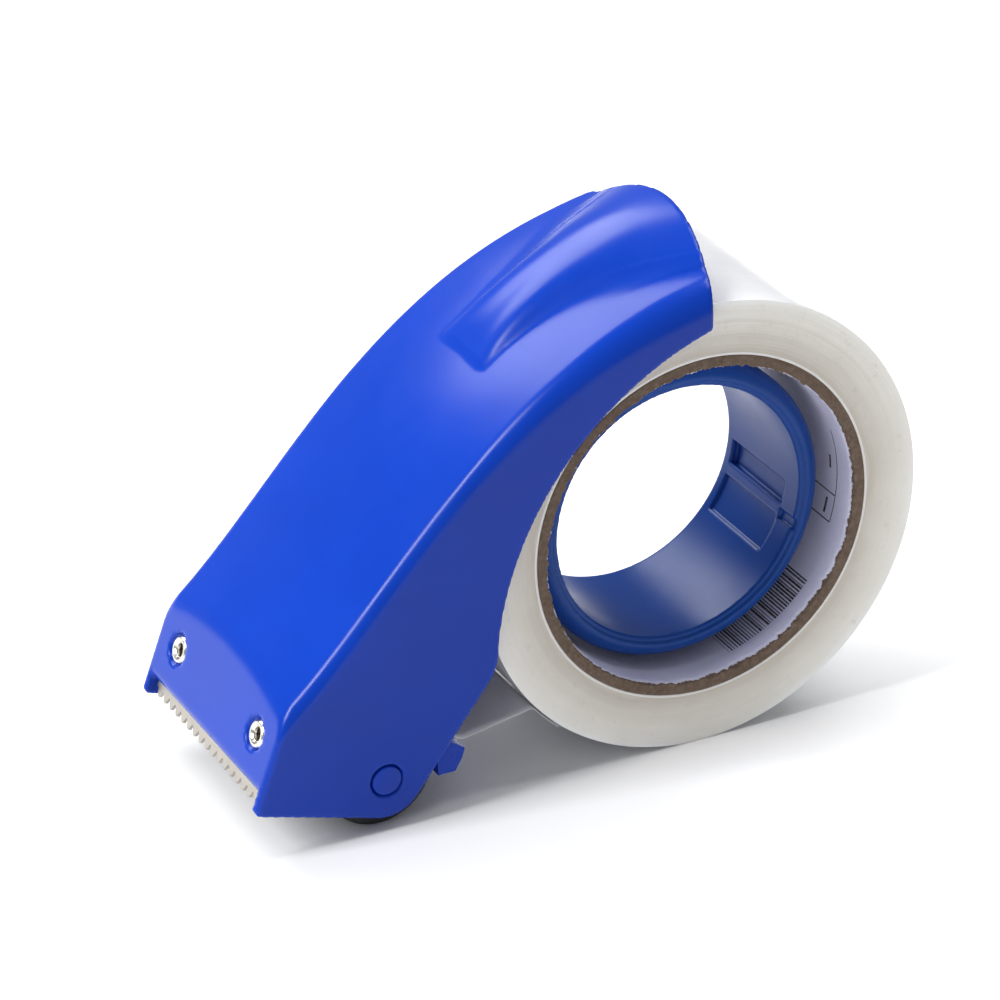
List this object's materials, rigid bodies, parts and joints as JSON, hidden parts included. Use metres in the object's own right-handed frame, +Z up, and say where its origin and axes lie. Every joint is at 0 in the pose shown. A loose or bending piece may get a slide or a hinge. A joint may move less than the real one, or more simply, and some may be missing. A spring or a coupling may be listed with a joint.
{
  "type": "tape dispenser",
  "caption": "Hand-held packing-tape dispenser with a hooded handle, serrated steel blade, rubber press roller and a loaded tape roll on a side-mounted hub.",
  "frame": {"origin": "centre of the bounding box in plan, at the level of the surface it stands on", "axes": "+X along the roll's axis towards the open side that the roll slides on from, -Y towards the blade, +Z up"},
  "size_m": [0.062, 0.1626, 0.1207],
  "materials": {
    "shell_plastic": "glossy moulded blue",
    "hub_plastic": "semi-gloss moulded blue",
    "guide_plastic": "moulded dark blue",
    "cap_plastic": "moulded blue",
    "screw_steel": "zinc plated",
    "blade_steel": "ground spring steel",
    "backing_steel": "plated strip",
    "rivet_steel": "nickel plated",
    "washer_steel": "zinc plated",
    "roller_rubber": "black rubber",
    "roller_tube": "extruded black plastic",
    "bush_plastic": "natural nylon",
    "axle_steel": "drawn rod",
    "core_cardboard": "cut brown board",
    "label_paper": "white printed paper",
    "tape_film": "wound clear film",
    "web_film": "clear film"
  },
  "bodies": {
    "frame": {"shell": "shell_plastic", "side_arm": "hub_plastic", "hub_ring": "hub_plastic", "arm_screws": "screw_steel", "blade": "blade_steel", "blade_backing": "backing_steel", "blade_rivets": "rivet_steel", "rivet_washers": "washer_steel", "guide_bar": "guide_plastic", "roller_axle": "axle_steel", "axle_caps": "cap_plastic", "tape_web": "web_film"},
    "roll": {"tape_core": "core_cardboard", "core_label": "label_paper", "tape_roll": "tape_film"},
    "roller": {"roller_sleeve": "roller_rubber", "roller_core": "roller_tube", "roller_bushes": "bush_plastic"}
  },
  "joints": [
    {"name": "roll_spin", "type": "hinge", "parent": "frame", "child": "roll", "pos_m": [0.002, 0.028, 0.0533], "axis": [1, 0, 0], "continuous": true},
    {"name": "roller_spin", "type": "hinge", "parent": "frame", "child": "roller", "pos_m": [0, -0.0504, 0.0126], "axis": [1, 0, 0], "continuous": true}
  ],
  "couplings": [
    {"joint": "roller_spin", "follows": "roll_spin", "ratio": -4.2302}
  ]
}
